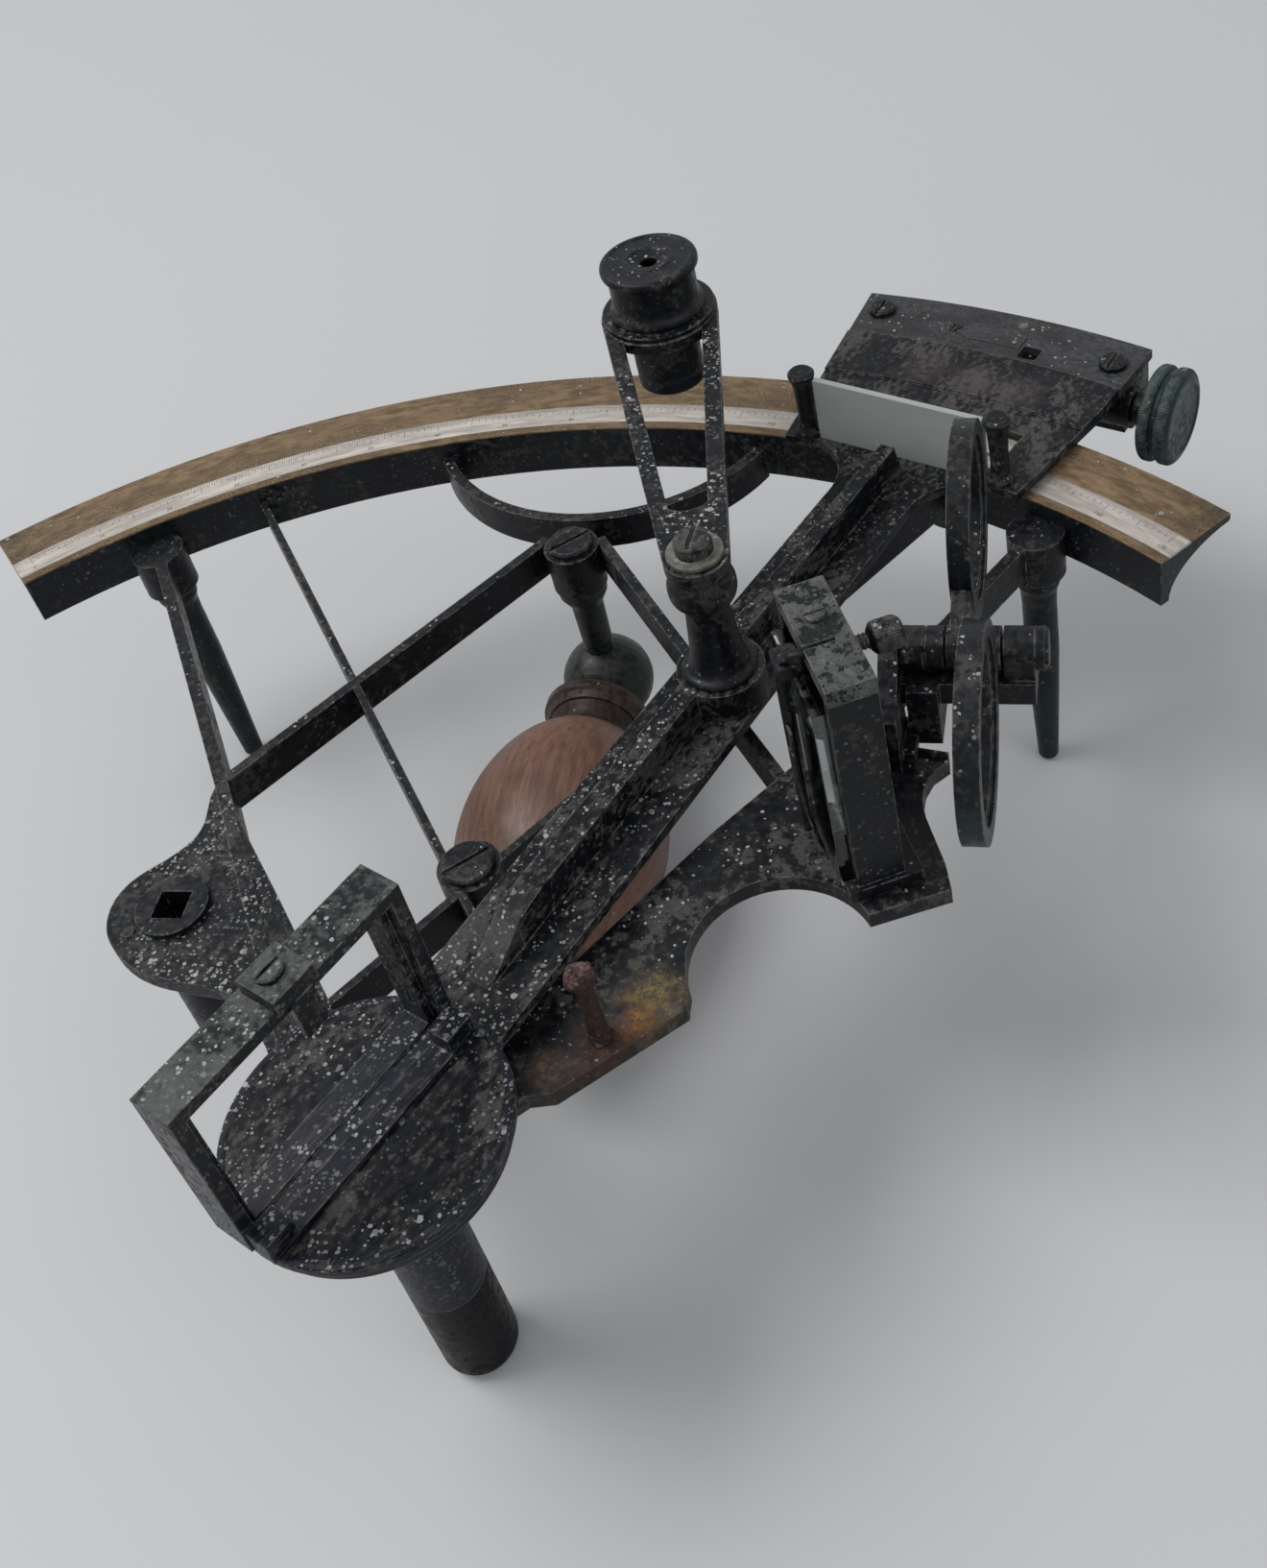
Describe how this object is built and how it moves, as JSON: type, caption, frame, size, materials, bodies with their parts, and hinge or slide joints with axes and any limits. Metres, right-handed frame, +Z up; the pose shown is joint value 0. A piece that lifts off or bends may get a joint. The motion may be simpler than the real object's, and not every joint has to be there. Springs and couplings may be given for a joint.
{
  "type": "vernier sextant",
  "caption": "Braced-frame vernier sextant on its feet: graduated limb, index arm with tangent screw, clamp and swinging magnifier, horizon glass, folding shades and wooden handle.",
  "frame": {"origin": "where the axis of the index arm meets the table, at the bottom of the foot under the pivot", "axes": "+Z up along the axis of the index arm, +Y from it towards the middle of the limb, +X to the right as seen from above with the limb away from the viewer"},
  "size_m": [0.2758, 0.2492, 0.1225],
  "materials": {
    "bronze": "worn, patchy",
    "black_bronze": "blackened, dusty",
    "silver": "brushed, tarnished",
    "steel": "dull",
    "rust": "rusted",
    "wood": "varnished, worn",
    "glass": "dusty",
    "ground_glass": "ground"
  },
  "bodies": {
    "frame": {"limb": "bronze", "arc_scale": "silver", "side_bars": "black_bronze", "diagonals": "black_bronze", "struts": "black_bronze", "arch_brace": "black_bronze", "upper_boss": "black_bronze", "lower_boss": "black_bronze", "ear_plate": "black_bronze", "lower_plate": "black_bronze", "pivot_disc": "black_bronze", "left_leg": "black_bronze", "right_leg": "black_bronze", "pivot_foot": "black_bronze", "upper_handle_post": "black_bronze", "lower_handle_post": "black_bronze", "upper_ferrule": "black_bronze", "lower_ferrule": "black_bronze", "handle_grip": "wood", "handle_rod": "steel", "boss_screws": "steel", "telescope_bush": "black_bronze", "rise_tube": "black_bronze", "ear_pin": "steel", "horizon_holder": "black_bronze", "horizon_glass": "glass", "horizon_clip": "black_bronze", "horizon_rod": "steel", "shade_bracket": "black_bronze", "shade_axle": "steel", "plate_stud": "rust"},
    "index_arm": {"index_arm": "black_bronze", "index_axis": "steel", "axis_washer": "steel", "axis_nut": "steel", "vernier": "silver", "screen_posts": "black_bronze", "screen_glass": "ground_glass", "mirror_frame": "black_bronze", "mirror_clip": "black_bronze", "mirror_feet": "black_bronze", "magnifier_post": "black_bronze", "magnifier_screw": "steel", "drive_lug": "black_bronze"},
    "clamp": {"clamp_cover": "black_bronze", "clamp_frame": "black_bronze", "cover_screws": "steel"},
    "clamp_jaw": {"clamp_jaw": "black_bronze"},
    "clamp_screw": {"clamp_screw": "black_bronze"},
    "tangent_screw": {"tangent_screw": "black_bronze"},
    "magnifier": {"magnifier_yoke": "black_bronze"},
    "lens": {"lens_tube": "black_bronze", "lens_cap": "black_bronze", "lens_glass": "glass"},
    "upper_shade": {"upper_shade": "black_bronze"},
    "lower_shade": {"lower_shade": "black_bronze"},
    "horizon_adjuster": {"horizon_adjuster": "black_bronze"},
    "rise_screw": {"rise_screw": "steel"}
  },
  "joints": [
    {"name": "index_arm_swing", "type": "hinge", "parent": "frame", "child": "index_arm", "pos_m": [0, 0, 0.0738], "axis": [0, 0, 1], "range_deg": [-5, 51.9]},
    {"name": "clamp_shift", "type": "hinge", "parent": "index_arm", "child": "clamp", "pos_m": [0, 0, 0.0738], "axis": [0, 0, 1], "range_deg": [-0.84, 0.84]},
    {"name": "tangent_screw_turn", "type": "hinge", "parent": "clamp", "child": "tangent_screw", "pos_m": [0.12669, 0.18411, 0.067], "axis": [-0.9157, 0.4019, 0], "range_deg": [-1440, 1440]},
    {"name": "clamp_jaw_lift", "type": "slide", "parent": "clamp", "child": "clamp_jaw", "axis": [0, 0, 1], "range_m": [0, 0.0006]},
    {"name": "clamp_screw_turn", "type": "hinge", "parent": "clamp_jaw", "child": "clamp_screw", "pos_m": [0.07918, 0.18039, 0.05], "axis": [0, 0, 1], "range_deg": [0, 360]},
    {"name": "magnifier_swing", "type": "hinge", "parent": "index_arm", "child": "magnifier", "pos_m": [0.04342, 0.09343, 0.107], "axis": [0, 0, 1], "range_deg": [-34, 35]},
    {"name": "lens_focus", "type": "slide", "parent": "magnifier", "child": "lens", "axis": [0, 0, 1], "range_m": [0, 0.005]},
    {"name": "upper_shade_swing", "type": "hinge", "parent": "frame", "child": "upper_shade", "pos_m": [0.091, 0.0938, 0.0855], "axis": [0.9998, -0.0175, 0], "range_deg": [0, 150.6]},
    {"name": "lower_shade_swing", "type": "hinge", "parent": "frame", "child": "lower_shade", "pos_m": [0.091, 0.0938, 0.0855], "axis": [0.9998, -0.0175, 0], "range_deg": [-150.6, 0]},
    {"name": "horizon_adjuster_turn", "type": "hinge", "parent": "frame", "child": "horizon_adjuster", "pos_m": [0.07844, 0.07161, 0.1104], "axis": [0.9048, 0.4258, 0], "range_deg": [-180, 180]},
    {"name": "rise_screw_turn", "type": "hinge", "parent": "frame", "child": "rise_screw", "pos_m": [-0.0545, 0.0457, 0.05], "axis": [0, 0, 1], "continuous": true}
  ],
  "couplings": [
    {"joint": "clamp_shift", "follows": "tangent_screw_turn", "ratio": 0.00058006},
    {"joint": "clamp_jaw_lift", "follows": "clamp_screw_turn", "m_per_rad": 0.000095493}
  ]
}
